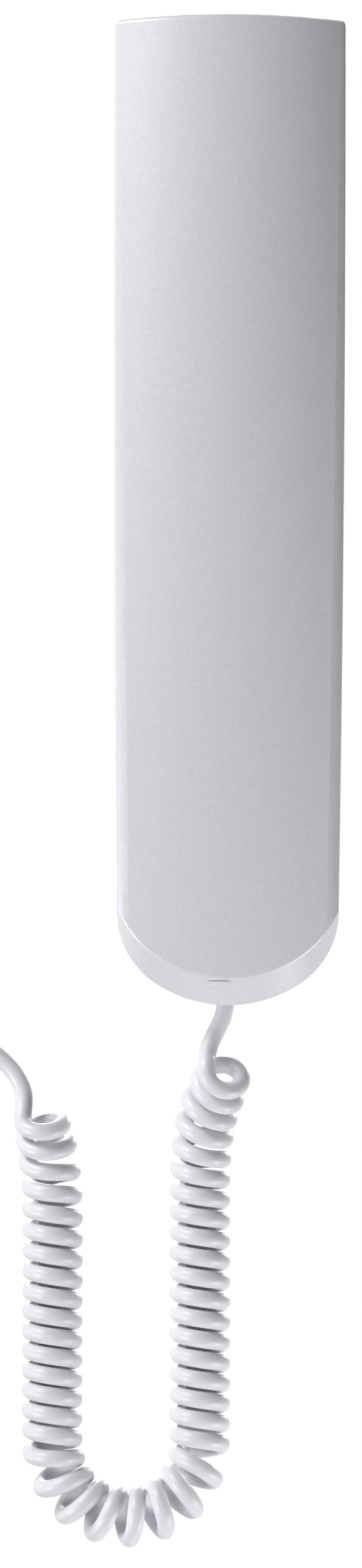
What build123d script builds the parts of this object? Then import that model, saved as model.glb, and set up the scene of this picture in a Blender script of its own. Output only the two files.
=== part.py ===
"""Audio intercom handset with a curly cord, hanging upright as it does on its cradle.

X runs across the handset, Y from the crowned front cover to the ear and mouth side, Z up.
The origin is the middle of the flat ledge under the earpiece, which rests on the cradle.
All lengths are millimetres and all angles degrees.
"""

import os
from bisect import bisect_left
from math import asin, ceil, cos, dist, pi, radians, sin, sqrt, tan

from build123d import *

os.makedirs("parts", exist_ok=True)

# Outline of the handset, seen from the front
handset_length = 211.6
ear_height_share = 0.293
top_width = 49.5
chin_width = 47.4
side_lean = 0.75
top_bow = 1.1
chin_radius = 28.0
chin_corner_radius = 18.0

# Depths of the handset
ledge_depth = 14.0
side_depth = 6.0
mouth_rise = 10.0
top_thickness = 21.0
chin_thickness = 20.5
spine_bow = 2.4

# Crown of the front cover, strong at the top and flatter at the chin
top_crown = 5.4
chin_crown = 2.2
top_shoulder = 1.0
chin_shoulder = 2.8
top_shoulder_radius = 10.0
chin_shoulder_radius = 6.0
crown_shares = (0, 1 / 3, 2 / 3, 1)

# Chin bevel under the front face
chin_band = 5.7
chin_arc_radius = 25.1
chin_arc_share = 0.97
chin_fall_share = 1.0
chin_pad_width = 9.6
chin_pad_x = -1.5
chin_pad_top = 5.2
chin_pad_low = 0.9
chin_pad_rise = 0.25
chin_pad_round = 4.0

# Rounded edges
end_corner_radius = 1.3
rim_round = 1.0
chin_round = 0.8
palm_width = 4.0
palm_radius = 6.0
boss_rim_round = 2.5

# Walls and the seam between the two shells
wall = 2.2
rim_wall = 2.0
seam_groove = 0.3
tongue_thickness = 0.9
tongue_height = 1.5
tongue_root = 0.5
lip_gap = 0.15
slip = 0.1
hair = 0.01
overrun = 1.0

# Ear and mouth bosses on the inner shell
boss_inset = 1.3
ledge_corner_radius = 3.0
ear_corner_radius = 9.0
mouth_height = 42.0
mouth_corner_radius = 6.0
mouth_chamfer_depth = 5.0
mouth_chamfer_height = 9.0

# Grilles in front of the receiver and the microphone
grille_dish_share = 0.778
grille_dish_depth = 0.6
grille_hole_radius = 1.1
grille_ring_share = 0.256
grille_ring_holes = 6
sound_hole_radius = 0.8
sound_ring_radius = 2.9
sound_ring_holes = 5

# Self-tapping screws that join the shells
screw_radius = 1.4
screw_head_radius = 2.8
screw_head_height = 1.9
screw_length = 12.0
screw_slot_depth = 0.8
screw_slot_width = 0.7
screw_seat_depth = 3.4
screw_seat_wall = 1.8
screw_head_clearance = 0.5
screw_hole_clearance = 0.3
screw_boss_wall = 1.9
pilot_overrun = 0.4
upper_screw_drop = 10.0
lower_screw_rise = 67.6

# Receiver, the dynamic earphone behind the ear grille
receiver_inset = 6.75
cap_thickness = 0.6
cap_skirt = 3.2
cap_hole_radius = 0.8
gasket_thickness = 0.8
gasket_width = 3.0
basket_depth = 6.2
basket_wall = 1.8
basket_rim = 0.7
basket_floor = 1.2
diaphragm_thickness = 0.3
diaphragm_play = 0.2
dome_margin = 0.4
dome_rise = 0.9
coil_seat = 1.2
arch_margin = 2.8
arch_rise = 0.6
cap_to_dome = 0.7
yoke_gap = 0.65
yoke_wall = 1.5
yoke_floor = 1.5
yoke_flange = 1.2
yoke_flange_thickness = 0.8
yoke_depth = 7.3
yoke_set_back = 1.4
pole_overhang = 1.0
magnet_thickness = 3.8
pole_share = 0.389
pole_thickness = 1.6
coil_gap = 0.55
coil_thickness = 0.6
coil_height = 4.2
receiver_play = 0.3
receiver_cup_wall = 1.4
receiver_cup_height = 7.0
back_pad_thickness = 1.0
back_pad_share = 0.389
clamp_wall = 1.6
terminal_board_width = 12.0
terminal_board_share = 0.256
terminal_board_thickness = 0.8
terminal_radius = 1.0
terminal_thickness = 0.5
terminal_spacing = 5.0
terminal_gap = 0.7

# Electret microphone behind the mouth grille
microphone_radius = 4.8
microphone_depth = 5.0
microphone_height = 23.0
boot_wall = 1.5
boot_lip = 0.8
boot_tail = 1.2
boot_holder_wall = 1.4
boot_holder_height = 4.6
capsule_rim = 0.7
capsule_rim_depth = 0.3
capsule_port_radius = 1.0
microphone_board_thickness = 0.6
microphone_board_inset = 0.8

# Steel weight that gives the handset its heft
weight_width = 26.0
weight_clearance = 10.0
weight_thickness = 6.0
weight_corner = 3.0
weight_screw_inset = 8.0
weight_post_height = 3.2
weight_post_radius = 3.6
weight_screw_length = 9.0

# Junction board where the cord's wires land
board_width = 24.0
board_height = 19.0
board_thickness = 1.6
board_rise = 49.1
board_post_height = 1.8
board_post_radius = 2.9
board_screw_spacing = 17.0
board_screw_length = 3.4
board_screw_radius = 1.1
board_screw_head_radius = 2.2
board_screw_head_height = 1.3
connector_width = 10.5
connector_height = 6.0
connector_depth = 5.6
connector_wall = 0.9
connector_drop = 4.0
pin_pitch = 2.0
pin_width = 0.6
pin_length = 4.4
pin_tail = 0.8

# Ribs across the inside of the front cover
rib_thickness = 1.2
rib_reach = 9.0
rib_drop_shares = (0.36, 0.5, 0.64)

# Curly cord, its strain relief and its tails
cord_diameter = 3.75
cord_exit_x = -0.4
grommet_width = 6.4
grommet_flange = 1.6
grommet_flange_height = 2.0
grommet_seat = 2.0
grommet_seat_margin = 0.8
grommet_recess = 2.2
grommet_round = 0.4
grommet_collar_radius = 2.6
grommet_collar_height = 6.0
grommet_bay = 2.5
curl_radius = 4.65
curl_pitches = (4.22, 4.4, 4.26, 4.23, 4.68)
end_curl_share = 0.86
end_curl_turns = 1.5
axis_steps = 24
turn_step = 0.01
gap_steps = 8
coil_axis = (
    (-0.5, -17.4, -163.6),
    (-1.1, -14.2, -165.2),
    (-2.4, -11.4, -168.2),
    (-4.0, -8.9, -172.4),
    (-5.1, -6.9, -177.6),
    (-5.7, -5.4, -184.0),
    (-5.8, -4.8, -194.0),
    (-5.66, -4.8, -217.0),
    (-5.66, -4.8, -240.3),
    (-5.66, -4.8, -248.7),
    (-9.87, -4.8, -256.0),
    (-17.17, -4.8, -260.2),
    (-25.59, -4.8, -260.2),
    (-32.95, -4.8, -256.0),
    (-37.3, -4.8, -248.7),
    (-37.5, -4.8, -240.3),
    (-37.5, -4.8, -217.0),
    (-37.4, -4.8, -197.0),
    (-37.7, -5.0, -188.6),
    (-38.4, -6.2, -181.6),
    (-40.0, -10.2, -174.2),
)
near_tail = ((-2.0, -13.1, -154.6), (-3.7, -13.9, -157.9), (-4.5, -15.4, -161.0))
far_tail = (
    (-43.7, -8.2, -172.0),
    (-43.6, -7.2, -168.4),
    (-46.0, -6.4, -163.8),
    (-50.5, -6.0, -160.0),
    (-55.4, -6.0, -156.4),
)
plug_x = -59.5
plug_y = -6.0
plug_z = -146.0

# Wires inside the handset
wire_radius = 0.5
wire_lane = 3.6
wire_spacing = 1.5
wire_reach = 6.0
wire_sway = 1.2
wire_end_run = 4.6
wire_lane_shares = (0.2, 0.5, 0.8)
bend_share = 0.45

# Modular plug on the far end of the cord
plug_width = 7.65
plug_depth = 6.4
plug_length = 13.0
plug_shoulder = 5.0
plug_step = 0.7
contact_pitch = 1.02
contact_width = 0.34
contact_length = 3.4
contact_depth = 2.4
contact_sink = 0.2
contact_set_back = 0.8
latch_width = 3.2
latch_thickness = 0.9
latch_length = 11.0
latch_ridge = 0.8
latch_angle = 12.0
latch_root = 1.2
latch_stand_off = 0.6

# Places that follow from the sizes above
ear_height = handset_length * ear_height_share
top_z = ear_height
chin_z = top_z - handset_length
ear_rim_y = ledge_depth / 2
grip_back_y = -ledge_depth / 2
parting_y = grip_back_y - side_depth
mouth_rim_y = grip_back_y + mouth_rise
ear_inside_y = ear_rim_y - rim_wall
mouth_inside_y = mouth_rim_y - rim_wall
grip_inside_y = grip_back_y - wall
front_reach = top_thickness + chin_thickness
mouth_top_z = chin_z + mouth_height
receiver_radius = top_width / 2 - receiver_inset
grille_dish_radius = receiver_radius * grille_dish_share
grille_ring_radius = receiver_radius * grille_ring_share
pole_radius = receiver_radius * pole_share
magnet_radius = pole_radius - pole_overhang
yoke_radius = pole_radius + coil_gap + coil_thickness + yoke_gap + yoke_wall
back_pad_radius = receiver_radius * back_pad_share
dome_radius = pole_radius + dome_margin
arch_start_radius = dome_radius + coil_seat
arch_end_radius = receiver_radius - arch_margin
terminal_board_height = receiver_radius * terminal_board_share
terminal_drop = yoke_radius + yoke_flange + terminal_gap + terminal_board_height / 2


def between(start, end, share):
    """The size that lies a share of the way from one end to the other."""
    return start + (end - start) * share


def handset_outline(inset=0):
    """The front view of the handset: a bowed top, tapering sides and a round chin."""
    half_top = top_width / 2 - inset
    half_chin = chin_width / 2 - inset
    bottom = chin_z + inset
    low_radius = chin_radius - inset
    corner_radius = chin_corner_radius - inset
    corner_x = half_chin - corner_radius
    low_centre_z = bottom + low_radius
    corner_z = low_centre_z - sqrt((low_radius - corner_radius) ** 2 - corner_x**2)
    meet_share = low_radius / (low_radius - corner_radius)
    low_x = corner_x * meet_share
    low_z = between(low_centre_z, corner_z, meet_share)
    lean = radians(side_lean)
    side_x = corner_x + corner_radius * cos(lean)
    side_z = corner_z - corner_radius * sin(lean)
    top_corner_z = top_z - top_bow - inset
    with BuildSketch() as outline:
        with BuildLine():
            ThreePointArc((-low_x, low_z), (0, bottom), (low_x, low_z))
            for side in (1, -1):
                low_end = (side * low_x, low_z)
                side_end = (side * side_x, side_z)
                top_end = (side * half_top, top_corner_z)
                TangentArc(low_end, side_end, tangent=(side * (low_centre_z - low_z), low_x))
                TangentArc(side_end, top_end, tangent=(side * sin(lean), cos(lean)))
            ThreePointArc((-half_top, top_corner_z), (0, top_z - inset), (half_top, top_corner_z))
        make_face()
    return outline.sketch


def rounded_outline(inset=0):
    """The front view of the handset with its top corners rounded."""
    with BuildSketch() as outline:
        add(handset_outline(inset))
        fillet(outline.vertices().group_by(Axis.Y)[-1], end_corner_radius - inset)
    return outline.sketch


def crown_profile(share, inset):
    """The section of the front cover at a share of the way down, open towards the back."""
    half_span = between(top_width, chin_width, share) / 2
    bow = spine_bow * 4 * share * (1 - share)
    apex_y = grip_back_y - between(top_thickness, chin_thickness, share) - bow + inset
    rise = between(top_crown, chin_crown, share)
    crown_radius = (half_span**2 + rise**2) / (2 * rise)
    shoulder_radius = between(top_shoulder_radius, chin_shoulder_radius, share)
    start_x = half_span - between(top_shoulder, chin_shoulder, share)
    lean = asin(start_x / crown_radius)
    start_y = apex_y + crown_radius * (1 - cos(lean))
    end_x = half_span + overrun
    turn = asin(sin(lean) + (end_x - start_x) / shoulder_radius)
    end_y = start_y + shoulder_radius * (cos(lean) - cos(turn))
    base_y = parting_y + overrun
    with BuildSketch() as profile:
        with BuildLine():
            ThreePointArc((-start_x, start_y), (0, apex_y), (start_x, start_y))
            for side in (1, -1):
                shoulder_start = (side * start_x, start_y)
                shoulder_end = (side * end_x, end_y)
                TangentArc(shoulder_start, shoulder_end, tangent=(side * cos(lean), sin(lean)))
            Polyline((end_x, end_y), (end_x, base_y), (-end_x, base_y), (-end_x, end_y))
        make_face()
    return profile.sketch


def crown_block(inset):
    """A block whose front is the crowned face, a little longer than the handset."""
    with BuildPart() as block:
        for share in crown_shares:
            height = between(top_z + overrun, chin_z - overrun, share)
            with BuildSketch(Plane.XY.offset(height)):
                add(crown_profile(share, inset))
        loft()
    return block.part


chin_plane = Plane.XZ.offset(side_depth - grip_back_y + chin_thickness)


def chin_arc_z(x, inset=0):
    """How high the arc of the chin bevel stands at x, in the plane its sketch lies in."""
    low_z = chin_z + chin_band + inset * sqrt(1 + chin_fall_share**2) + side_depth * chin_fall_share
    return low_z + chin_arc_radius - sqrt(chin_arc_radius**2 - x**2)


def chin_waste(inset):
    """What the chin bevel cuts away: all below an arc that falls back as it goes down."""
    half_arc = chin_arc_radius * chin_arc_share
    arc_end_z = chin_arc_z(half_arc, inset)
    wide = top_width
    with BuildPart() as waste:
        with BuildSketch(chin_plane):
            with BuildLine():
                ThreePointArc((-half_arc, arc_end_z), (0, chin_arc_z(0, inset)), (half_arc, arc_end_z))
                Polyline(
                    (half_arc, arc_end_z),
                    (wide, arc_end_z),
                    (wide, chin_z - wide),
                    (-wide, chin_z - wide),
                    (-wide, arc_end_z),
                    (-half_arc, arc_end_z),
                )
            make_face()
        extrude(amount=wide, dir=(0, 1, -chin_fall_share))
    return waste.part


def touching(edges, surface):
    """The edges whose middle lies on a surface."""
    return edges.filter_by(lambda edge: surface.distance_to(edge.position_at(0.5)) < hair)


def off_depth(edges, depth):
    """The edges that neither lie at a depth nor run along Y."""
    across = edges.filter_by(Axis.Y, reverse=True)
    return across.filter_by(lambda edge: abs(edge.position_at(0.5).Y - depth) > hair)


def front_form(inset):
    """The front half inside its walls by an inset, with plain edges."""
    with BuildPart() as form:
        with BuildSketch(Plane.XZ.offset(-parting_y)):
            add(handset_outline(inset))
        extrude(amount=front_reach)
        add(crown_block(inset), mode=Mode.INTERSECT)
        add(chin_waste(inset), mode=Mode.SUBTRACT)
    return form.part


def boss_prism(sketch, start_y, end_y):
    """A sketch of the front view, drawn out from one depth to another."""
    with BuildPart() as prism:
        with BuildSketch(Plane.XZ.offset(-end_y)):
            add(sketch)
        extrude(amount=end_y - start_y)
    return prism.part


def ear_boss_outline(inset):
    """The rounded rectangle of the earpiece, whose lower side is the cradle ledge."""
    half_width = top_width / 2 - boss_inset - inset
    upper_z = top_z - top_bow - boss_inset - inset
    with BuildSketch() as outline:
        with Locations((0, (upper_z + inset) / 2)):
            Rectangle(2 * half_width, upper_z - inset)
        corners = outline.vertices().group_by(Axis.Y)
        fillet(corners[0], ledge_corner_radius - inset)
        fillet(outline.vertices().group_by(Axis.Y)[-1], ear_corner_radius - inset)
    return outline.sketch


def mouth_boss_outline(inset):
    """The handset's chin below a level line, drawn in all round."""
    with BuildSketch() as outline:
        add(handset_outline(boss_inset + inset))
        with Locations((0, mouth_top_z - inset - handset_length / 2)):
            Rectangle(2 * top_width, handset_length, mode=Mode.INTERSECT)
        fillet(outline.vertices().group_by(Axis.Y)[-1], mouth_corner_radius - inset)
    return outline.sketch


def front_disc(radius, back_y, depth, height=0, across=0):
    """A disc that lies across the handset, from its back face forwards."""
    with BuildPart() as disc:
        with BuildSketch(Plane.XZ.offset(-back_y)):
            with Locations((across, height)):
                Circle(radius)
        extrude(amount=depth)
    return disc.part


def palm_profile(share):
    """The section of the inner shell at a share of the way down, rounded for the palm."""
    half_span = between(top_width, chin_width, share) / 2
    start_x = half_span - palm_width
    end_x = half_span + overrun
    end_y = grip_back_y - palm_radius + sqrt(palm_radius**2 - (end_x - start_x) ** 2)
    base_y = parting_y - overrun
    with BuildSketch() as profile:
        with BuildLine():
            Line((-start_x, grip_back_y), (start_x, grip_back_y))
            for side in (1, -1):
                TangentArc((side * start_x, grip_back_y), (side * end_x, end_y), tangent=(side, 0))
            Polyline((end_x, end_y), (end_x, base_y), (-end_x, base_y), (-end_x, end_y))
        make_face()
    return profile.sketch


def palm_block():
    """A block whose back is flat and falls away at both sides, as long as the handset."""
    with BuildPart() as block:
        for share in crown_shares:
            height = between(top_z + overrun, chin_z - overrun, share)
            with BuildSketch(Plane.XY.offset(height)):
                add(palm_profile(share))
        loft()
    return block.part


def mouth_waste(inset):
    """What the sloping upper side of the mouth boss cuts away."""
    slope = Vector(-mouth_chamfer_depth, mouth_chamfer_height)
    inward = Vector(-mouth_chamfer_height, -mouth_chamfer_depth).normalized() * inset
    low = Vector(mouth_rim_y, mouth_top_z - mouth_chamfer_height) + inward - slope
    high = Vector(mouth_rim_y - mouth_chamfer_depth, mouth_top_z) + inward + slope
    with BuildPart() as waste:
        with BuildSketch(Plane.YZ):
            with BuildLine():
                Polyline((low.X, low.Y), (high.X, high.Y), (low.X, high.Y), close=True)
            make_face()
        extrude(amount=top_width, both=True)
    return waste.part


def block(across, depth, height):
    """A box from its limits along X, Y and Z."""
    sizes = [end - start for start, end in (across, depth, height)]
    middle = [(start + end) / 2 for start, end in (across, depth, height)]
    with BuildPart() as box:
        with Locations(tuple(middle)):
            Box(*sizes)
    return box.part


def seam_ring(outer_inset, inner_inset, start_y, end_y, bay_half_width):
    """A band that follows the shells' walls, left out round the cord's strain relief."""
    with BuildPart() as ring:
        with BuildSketch(Plane.XZ.offset(-end_y)):
            add(handset_outline(outer_inset))
            add(handset_outline(inner_inset), mode=Mode.SUBTRACT)
            with Locations((cord_exit_x, chin_z)):
                Rectangle(2 * bay_half_width, 2 * bay_half_width, mode=Mode.SUBTRACT)
        extrude(amount=end_y - start_y)
    return ring.part


def front_plane(depth, height=0, across=0, facing=1):
    """A plane across the handset that faces the ear side, or the cover when facing is -1."""
    return Plane(origin=(across, depth, height), x_dir=(1, 0, 0), z_dir=(0, facing, 0))


def screw(across, height, seat_y, facing, radius, head_radius, head_height, length):
    """A pan-head screw with a cross slot, seated at a depth, its head facing one way."""
    seat = front_plane(seat_y, height, across, facing)
    crown = front_plane(seat_y + facing * head_height, height, across, facing)
    with BuildPart() as body:
        with BuildSketch(seat):
            Circle(head_radius)
        extrude(amount=head_height)
        fillet(body.edges().sort_by(Axis.Y, reverse=facing > 0)[0], head_height / 2)
        with BuildSketch(crown):
            Rectangle(1.2 * head_radius, screw_slot_width)
            Rectangle(screw_slot_width, 1.2 * head_radius)
        extrude(amount=-screw_slot_depth, mode=Mode.SUBTRACT)
        with BuildSketch(seat):
            Circle(radius)
        extrude(amount=-length)
        chamfer(body.edges().sort_by(Axis.Y, reverse=facing < 0)[0], radius / 2)
    return body.part


def revolved(points, axis_height):
    """A ring or disc about an axis along Y, from its profile of depth and radius."""
    with BuildPart() as turned:
        with BuildSketch(Plane.YZ):
            with BuildLine():
                Polyline(*[(depth, axis_height + radius) for depth, radius in points], close=True)
            make_face()
        revolve(axis=Axis((0, 0, axis_height), (0, 1, 0)))
    return turned.part


def rounded_route(points, name):
    """Straight runs joined by tangent arcs, each as large as its two runs allow."""
    corners = [Vector(*point) for point in points]
    runs = [end - start for start, end in zip(corners, corners[1:])]
    radii = []
    last = corners[0]
    with BuildLine() as route:
        for before, corner, after in zip(runs, corners[1:], runs[1:]):
            trim = bend_share * min(before.length, after.length)
            start = corner - before.normalized() * trim
            end = corner + after.normalized() * trim
            Line(last, start)
            TangentArc(start, end, tangent=before)
            radii.append(trim / tan(radians(before.get_angle(after)) / 2))
            last = end
        Line(last, corners[-1])
    print(name, "radii", [round(radius, 1) for radius in radii])
    return route.wire()


def tube(route, diameter):
    """A round tube along a route."""
    with BuildPart() as swept:
        with BuildSketch(Plane(origin=route @ 0, z_dir=route % 0)):
            Circle(diameter / 2)
        sweep(path=route)
    return swept.part


def axis_samples():
    """Points close together on the curve that the coil's axis points pull along with them."""
    points = [Vector(*point) for point in coil_axis]
    samples = []
    for index, middle in enumerate(points[1:-1], start=1):
        start = points[0] if index == 1 else (points[index - 1] + middle) * 0.5
        end = points[-1] if index == len(points) - 2 else (points[index + 1] + middle) * 0.5
        for step in range(axis_steps):
            share = step / axis_steps
            pull = 2 * share * (1 - share)
            samples.append(start * (1 - share) ** 2 + middle * pull + end * share**2)
    return [*samples, points[-1]]


def turn_counts(samples):
    """How many turns the cord has made at each sample; bends open the curls as they must."""
    runs = [end - start for start, end in zip(samples, samples[1:])]
    spans = len(curl_pitches) - 1
    length = sum(run.length for run in runs)
    counts = [0]
    done = 0
    for run, following in zip(runs, [*runs[1:], runs[-1]]):
        place = min(int(spans * done / length), spans - 1)
        pitch = between(curl_pitches[place], curl_pitches[place + 1], spans * done / length - place)
        bend = radians(run.get_angle(following))
        counts.append(counts[-1] + (run.length - curl_radius * bend) / pitch)
        done += run.length
    whole = round(counts[-1] - 0.5) + 0.5
    return [count * whole / counts[-1] for count in counts]


def cord_point(samples, counts, turn):
    """The middle of the cord after so many turns, a left-handed helix about its axis."""
    index = max(1, min(len(samples) - 2, bisect_left(counts, turn)))
    share = (turn - counts[index - 1]) / (counts[index] - counts[index - 1])
    place = samples[index - 1] + (samples[index] - samples[index - 1]) * share
    run_before = (samples[index] - samples[index - 1]).normalized()
    run_after = (samples[index + 1] - samples[index]).normalized()
    along = (run_before * (1 - share) + run_after * share).normalized()
    back = (Vector(0, 1, 0) - along * along.Y).normalized()
    across = along.cross(back)
    from_end = min(turn, counts[-1] - turn, end_curl_turns)
    radius = curl_radius * between(end_curl_share, 1, from_end / end_curl_turns)
    angle = 2 * pi * (turn + 0.25)
    return place + back * (radius * cos(angle)) - across * (radius * sin(angle))


def cord_stations():
    """Points on the middle of the cord with its direction there, from handset to plug."""
    samples = axis_samples()
    counts = turn_counts(samples)
    halves = round(2 * counts[-1])
    coil = []
    for half in range(halves + 1):
        turn = counts[-1] * half / halves
        before = cord_point(samples, counts, turn - turn_step)
        after = cord_point(samples, counts, turn + turn_step)
        coil.append((cord_point(samples, counts, turn), (after - before).normalized()))
    straight = Vector(0, 0, cord_diameter)
    start = Vector(cord_exit_x, parting_y, chin_z + grommet_recess)
    end = Vector(plug_x, plug_y, plug_z)
    near = [start - straight, *[Vector(*point) for point in near_tail], coil[0][0]]
    far = [coil[-1][0], *[Vector(*point) for point in far_tail], end - straight]
    stations = [(start, -straight), (near[0], -straight)]
    stations += [(near[place], near[place + 1] - near[place - 1]) for place in range(1, len(near) - 1)]
    stations += coil
    stations += [(far[place], far[place + 1] - far[place - 1]) for place in range(1, len(far) - 1)]
    stations += [(far[-1], straight), (end, straight)]
    return [(place, direction.normalized()) for place, direction in stations]


def least_gap(route, diameter):
    """The least space between stretches of a tube three diameters or more apart along it."""
    spots = []
    for edge in route.order_edges():
        steps = ceil(gap_steps * edge.length / diameter)
        spots += [tuple(edge @ (step / steps)) for step in range(steps)]
    apart = 3 * gap_steps
    spaces = [dist(spot, other) for index, spot in enumerate(spots) for other in spots[index + apart :]]
    return min(spaces) - diameter


# Places shared by the shells and by the pieces inside them
screw_heights = (-upper_screw_drop, chin_z + lower_screw_rise)
screw_seat_y = grip_back_y - screw_seat_depth
screw_boss_y = screw_seat_y - screw_seat_wall
pilot_radius = screw_radius + slip
cover_boss_radius = pilot_radius + screw_boss_wall
counterbore_radius = screw_head_radius + screw_head_clearance
seat_tube_radius = counterbore_radius + screw_seat_wall
seat_low_z = chin_z + wall / 2
seat_top_z = chin_z + wall + grommet_seat
flange_top_z = seat_top_z + grommet_flange_height
grommet_half = grommet_width / 2
flange_half = grommet_half + grommet_flange
seat_half = flange_half + grommet_seat_margin
bay_half = flange_half + grommet_bay
receiver_z = ear_height / 2
cap_front_y = ear_inside_y - gasket_thickness
cap_back_y = cap_front_y - cap_thickness
diaphragm_y = cap_back_y - cap_to_dome - dome_rise - diaphragm_thickness
basket_back_y = diaphragm_y - basket_depth
flange_back_y = basket_back_y - yoke_flange_thickness
yoke_front_y = diaphragm_y - yoke_set_back
yoke_back_y = yoke_front_y - yoke_depth
clamp_y = yoke_back_y - back_pad_thickness
terminal_z = receiver_z - terminal_drop
terminal_y = basket_back_y - terminal_board_thickness
microphone_z = chin_z + microphone_height
boot_radius = microphone_radius + slip + boot_wall
capsule_y = mouth_inside_y - boot_lip
capsule_back_y = capsule_y - microphone_depth
holder_radius = boot_radius + slip
weight_z = between(*screw_heights, 0.5)
weight_length = screw_heights[0] - screw_heights[1] - 2 * weight_clearance
weight_screw_reach = weight_length / 2 - weight_screw_inset
weight_back_y = grip_inside_y - weight_post_height
weight_front_y = weight_back_y - weight_thickness
weight_screw_heights = (weight_z - weight_screw_reach, weight_z + weight_screw_reach)
board_z = chin_z + board_rise
board_back_y = grip_inside_y - board_post_height
board_front_y = board_back_y - board_thickness
board_pilot_radius = board_screw_radius + slip
board_screw_places = (-board_screw_spacing / 2, board_screw_spacing / 2)
outer_grille_ring = (2 * grille_ring_radius, 2 * grille_ring_holes)
grille_rings = ((0, 1), (grille_ring_radius, grille_ring_holes), outer_grille_ring)


def holes(rings, radius, start_y, depth, height):
    """Round holes in rings about a middle, drawn forwards from a depth."""
    with BuildPart() as drilled:
        with BuildSketch(Plane.XZ.offset(-start_y)):
            with Locations((0, height)):
                for ring_radius, count in rings:
                    with PolarLocations(ring_radius, count):
                        Circle(radius)
        extrude(amount=depth)
    return drilled.part


# Front cover, crowned and bevelled at the chin
with BuildPart() as cover_fittings:
    for height in screw_heights:
        add(front_disc(cover_boss_radius, parting_y, front_reach, height))
    add(front_disc(back_pad_radius, parting_y, front_reach, receiver_z))
    for share in rib_drop_shares:
        rib_z = between(top_z, chin_z, share)
        rib_front_y = parting_y - front_reach
        rib_limits = (rib_z - rib_thickness / 2, rib_z + rib_thickness / 2)
        add(block((-top_width, top_width), (rib_front_y, parting_y - rib_reach), rib_limits))
    seat_x = (cord_exit_x - seat_half, cord_exit_x + seat_half)
    add(block(seat_x, (parting_y - seat_half, parting_y), (seat_low_z, seat_top_z)))
    add(front_form(wall / 2), mode=Mode.INTERSECT)
    for height in screw_heights:
        add(front_disc(cover_boss_radius, screw_boss_y, screw_boss_y - parting_y, height))
    add(front_disc(back_pad_radius, clamp_y, clamp_y - parting_y, receiver_z))
    add(front_disc(back_pad_radius - clamp_wall, clamp_y, front_reach, receiver_z), mode=Mode.SUBTRACT)
with BuildPart() as chin_pad:
    pad_x = (chin_pad_x - chin_pad_width / 2, chin_pad_x + chin_pad_width / 2)
    pad_z = [chin_arc_z(x, -chin_pad_rise) for x in (pad_x[0], chin_pad_x, pad_x[1])]
    pad_back_z = chin_arc_z(0, chin_pad_round)
    with BuildSketch(chin_plane) as pad_form:
        with BuildLine():
            ThreePointArc((pad_x[0], pad_z[0]), (chin_pad_x, pad_z[1]), (pad_x[1], pad_z[2]))
            Polyline(
                (pad_x[1], pad_z[2]), (pad_x[1], pad_back_z), (pad_x[0], pad_back_z), (pad_x[0], pad_z[0])
            )
        make_face()
        fillet(pad_form.vertices().sort_by(Axis.Y)[:2], chin_pad_round)
    extrude(amount=top_width, dir=(0, 1, -chin_fall_share))
    pad_reach = (chin_z + chin_pad_low, chin_z + chin_pad_top)
    add(block(pad_x, (parting_y - front_reach, parting_y), pad_reach), mode=Mode.INTERSECT)
with BuildPart() as outer_shell:
    with BuildSketch(Plane.XZ.offset(-parting_y)):
        add(rounded_outline())
    extrude(amount=front_reach)
    cover_walls = Compound(outer_shell.faces().filter_by(Axis.Y, reverse=True))
    add(crown_block(0), mode=Mode.INTERSECT)
    cover_rim = off_depth(touching(outer_shell.edges(), cover_walls), parting_y)
    fillet(cover_rim, rim_round)
    bevel = chin_waste(0)
    add(bevel, mode=Mode.SUBTRACT)
    bevel_face = bevel.faces().filter_by(GeomType.PLANE, reverse=True)[0]
    fillet(touching(outer_shell.edges(), bevel_face), chin_round)
    add(chin_pad.part)
    add(front_form(wall), mode=Mode.SUBTRACT)
    lip_inset = wall - tongue_thickness - lip_gap
    lip_y = parting_y - tongue_height - lip_gap
    add(seam_ring(lip_inset, wall + overrun, lip_y, parting_y, bay_half - lip_gap), mode=Mode.SUBTRACT)
    add(cover_fittings.part)
    for height in screw_heights:
        pilot_depth = screw_length - screw_seat_wall + pilot_overrun
        add(front_disc(pilot_radius, screw_boss_y, pilot_depth, height), mode=Mode.SUBTRACT)
    neck_x = (cord_exit_x - grommet_half - slip, cord_exit_x + grommet_half + slip)
    neck_y = (parting_y - grommet_half - slip, parting_y + grommet_half + slip)
    add(block(neck_x, neck_y, (chin_z - overrun, flange_top_z)), mode=Mode.SUBTRACT)
outer_shell.part.label = "outer_shell"
export_step(outer_shell.part, "parts/outer_shell.step")

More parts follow.
